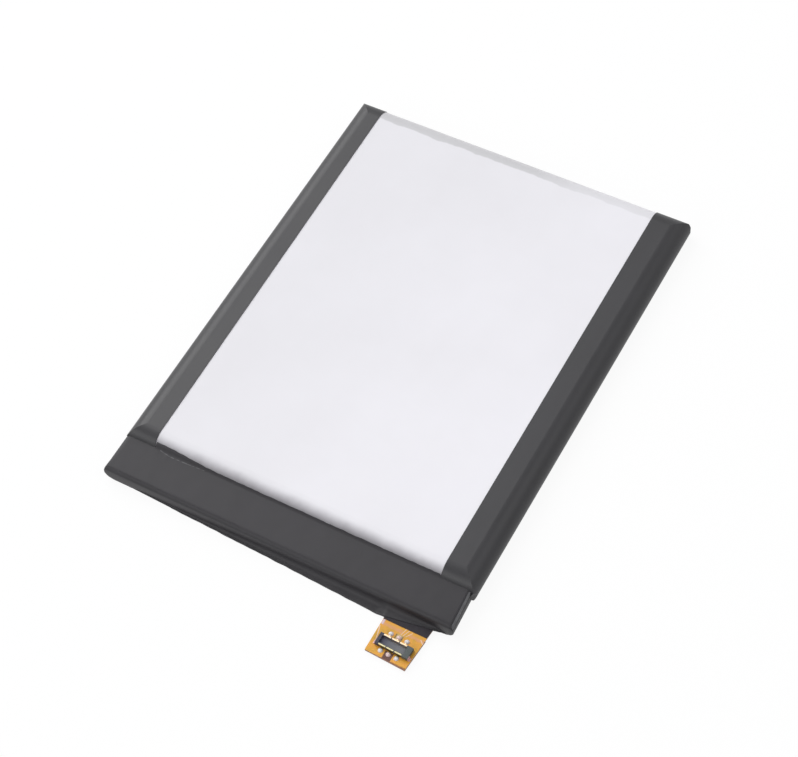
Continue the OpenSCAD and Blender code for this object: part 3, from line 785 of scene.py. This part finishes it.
def front_points(x, edge_r):
    """The front wall, the tent at its foot and the lip out to its edge."""
    out = lip_out(x)
    tent = min(out * TENT_SHARE, TENT + waves(TENT_WAVES, x))
    foot = 2 * TAPE + (ABOVE_FLEX - 2 * TAPE) * over_flex(x)
    wall_end = min(BAY_TOP - edge_r - WALL_LEAST, foot + tent * TENT_SLOPE)
    if out < LIP_NONE:
        foot = 0.0
        wall_end = WALL_FOOT
    pts = []
    for z in span(BAY_TOP - edge_r, wall_end, WALL_STEPS)[1:]:
        pts.append((FRONT_Y - BULGE - waves(WALL_WAVES, x, z), z))
    for a in quarter(ARC_STEPS):
        pts.append((FRONT_Y - tent * (1 - math.cos(a)), foot + (wall_end - foot) * (1 - math.sin(a))))
    for y in span(FRONT_Y - tent, lip_y(x, 0.0), LIP_STEPS)[1:]:
        pts.append((y, foot))
    return pts


def top_profile(x):
    """The upper layer at x, from the cell to the lip's edge, as (y, z) points."""
    edge_r = EDGE_R + waves(EDGE_WAVES, x)
    top = climb_points(x) + crease_points(x) + top_points(x, edge_r)
    return top + edge_points(edge_r) + front_points(x, edge_r)


def bottom_profile(x):
    """The lower layer at x, from the lip's edge back under the cell, as (y, z) points."""
    rise = BELOW_FLEX * over_flex(x)
    flat_y = FRONT_Y + UNDER_SLOPE
    back = UNDER_BACK if abs(x) < SIDE_TAPE_X else UNDER_BACK_SIDES
    pts = []
    for y in span(lip_y(x, UNDER_SET_IN), flat_y, UNDER_SLOPE_STEPS):
        pts.append((y, rise * (1 - smooth(y, FRONT_Y, flat_y))))
    return pts + [(y, 0.0) for y in span(flat_y, back, UNDER_FLAT_STEPS)[1:]]


def stations():
    """Places along x, closer together at the rolled ends."""
    whole = RIGHT_END - LEFT_END
    end = [END_SPAN * (1 - math.cos(a)) for a in [0.0] + quarter(END_ROWS)[:-1]]
    middle = span(END_SPAN, whole - END_SPAN, MIDDLE_ROWS)
    return [LEFT_END + d for d in end + middle + [whole - d for d in reversed(end)]]


def skin(bm, profile):
    """An open skin through the profile at each station, outer side first."""
    rows = []
    for x in stations():
        low, high = end_limits(x)
        row = []
        for y, z in profile(x):
            row.append(bm.verts.new((waisted(x, y), y, max(soft_min(z, high, END_SOFT), low))))
        rows.append(row)
    for a, b in zip(rows, rows[1:]):
        for k in range(len(a) - 1):
            bm.faces.new((a[k], a[k + 1], b[k + 1], b[k]))


def thicken(bm):
    """Gives the open skin the tape's thickness, inwards."""
    bmesh.ops.remove_doubles(bm, verts=bm.verts, dist=JOIN)
    bmesh.ops.dissolve_degenerate(bm, edges=bm.edges, dist=SLIVER)
    bm.normal_update()
    outer = list(bm.faces)
    rim = [e for e in bm.edges if len(e.link_faces) == 1]
    inner = {v: bm.verts.new(v.co - v.normal * TAPE) for v in list(bm.verts)}
    for face in outer:
        bm.faces.new([inner[v] for v in reversed(face.verts)])
    for edge in rim:
        loops = edge.link_faces[0].loops
        a, b = next((l.vert, l.link_loop_next.vert) for l in loops if l.edge == edge)
        bm.faces.new((b, a, inner[a], inner[b]))


def laid_tape(name, profile):
    """One layer of the bay's tape, kept between its ends and above the resting plane."""
    bm = bmesh.new()
    skin(bm, profile)
    thicken(bm)
    mesh = bpy.data.meshes.new(name)
    bm.to_mesh(mesh)
    bm.free()
    for v in mesh.vertices:
        x, y, z = v.co
        v.co = Vector((min(max(x, LEFT_END), RIGHT_END), y, max(z, 0.0))) * MM
    for face in mesh.polygons:
        face.use_smooth = True
    mesh.materials.append(bay_tape)
    obj = new_object(name, mesh)
    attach(obj, "root")
    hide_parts("bay_wrap_tape")


laid_tape("bay_tape_laid", top_profile)
laid_tape("bay_tape_under", bottom_profile)


# Stage, in metres

FLOOR_HALF = 6.0
FLOOR_Z = -0.00002
FLOOR_WHITE = 0.92
FLOOR_TONE = (0.9, 0.9, 0.9, 1)
SKY_TONES = (
    (0.0, (0.19, 0.19, 0.195)),
    (0.3, (0.31, 0.31, 0.32)),
    (0.85, (0.52, 0.525, 0.54)),
)
# Lamps: name, place, size and watts
LAMPS = (
    ("key", (-0.94, 0.40, 0.87), (1.2, 1.2), 15.6),
    ("front", (-0.35, -0.87, 0.48), (0.9, 0.5), 3.2),
    ("side", (0.52, 0.20, 0.62), (0.5, 0.5), 0.9),
)


def background_rays(n):
    """1 for rays that show the background: from the camera, reflected or through glass."""
    path = n.add("ShaderNodeLightPath")
    seen = n.calc("MAXIMUM", path.outputs["Is Camera Ray"], path.outputs["Is Glossy Ray"])
    return n.calc("MAXIMUM", seen, path.outputs["Is Transmission Ray"])


def floor_plane():
    """A wide floor just under the part, near white to the camera, that keeps its shadow."""
    bm = bmesh.new()
    for x, y in ((-1, -1), (1, -1), (1, 1), (-1, 1)):
        bm.verts.new((x * FLOOR_HALF, y * FLOOR_HALF, FLOOR_Z))
    bm.faces.new(bm.verts)
    mesh = bpy.data.meshes.new("floor")
    bm.to_mesh(mesh)
    bm.free()
    mat = bpy.data.materials.new("floor")
    mat.use_nodes = True
    mat.node_tree.nodes.clear()
    n = Nodes(mat.node_tree)
    diffuse = n.add("ShaderNodeBsdfDiffuse")
    diffuse.inputs["Color"].default_value = FLOOR_TONE
    glow = n.add("ShaderNodeEmission")
    white = n.times(background_rays(n), FLOOR_WHITE)
    surface = n.mix_shaders(white, diffuse.outputs["BSDF"], glow.outputs["Emission"])
    n.link(surface, n.add("ShaderNodeOutputMaterial").inputs["Surface"])
    mesh.materials.append(mat)
    new_object("floor", mesh)


def sky():
    """White to the camera, and a soft grey dome, brighter overhead, to the part."""
    world = bpy.data.worlds.new("studio")
    bpy.context.scene.world = world
    world.use_nodes = True
    world.node_tree.nodes.clear()
    n = Nodes(world.node_tree)
    way = n.add("ShaderNodeTexCoord")
    split = n.add("ShaderNodeSeparateXYZ")
    n.link(way.outputs["Generated"], split.inputs["Vector"])
    dome = n.add("ShaderNodeBackground")
    n.link(n.ramp(split.outputs["Z"], SKY_TONES), dome.inputs["Color"])
    white = n.add("ShaderNodeBackground")
    white.inputs["Color"].default_value = (1, 1, 1, 1)
    surface = n.mix_shaders(background_rays(n), dome.outputs["Background"], white.outputs["Background"])
    n.link(surface, n.add("ShaderNodeOutputWorld").inputs["Surface"])


def softbox(name, place, size, watts):
    """A rectangular lamp that faces the part."""
    light = bpy.data.lights.new(name, "AREA")
    light.shape = "RECTANGLE"
    light.size, light.size_y = size
    light.energy = watts
    obj = new_object(name, light)
    obj.location = place
    obj.rotation_euler = (-Vector(place)).to_track_quat("-Z", "Y").to_euler()


floor_plane()
sky()
for lamp in LAMPS:
    softbox(*lamp)


# Camera, fitted to the photograph

FOCAL_PX = 2016.32
IMAGE_W = 798
SENSOR_W = 36.0
CAMERA_MM = Vector((110.60, -146.45, 272.75))
RIGHT = Vector((0.8689, 0.4870, -0.0879))
DOWN = Vector((0.3661, -0.7521, -0.5479))
AHEAD = Vector((-0.3330, 0.4440, -0.8319))

cam_data = bpy.data.cameras.new("camera")
cam_data.sensor_width = SENSOR_W
cam_data.lens = FOCAL_PX / IMAGE_W * SENSOR_W
cam_data.clip_start = 0.01
cam_data.clip_end = 100.0
cam = new_object("camera", cam_data)
turn = Matrix((RIGHT, -DOWN, -AHEAD)).transposed()
cam.matrix_world = Matrix.Translation(CAMERA_MM * MM) @ turn.to_4x4()
bpy.context.scene.camera = cam
bpy.context.scene.view_settings.view_transform = "Standard"
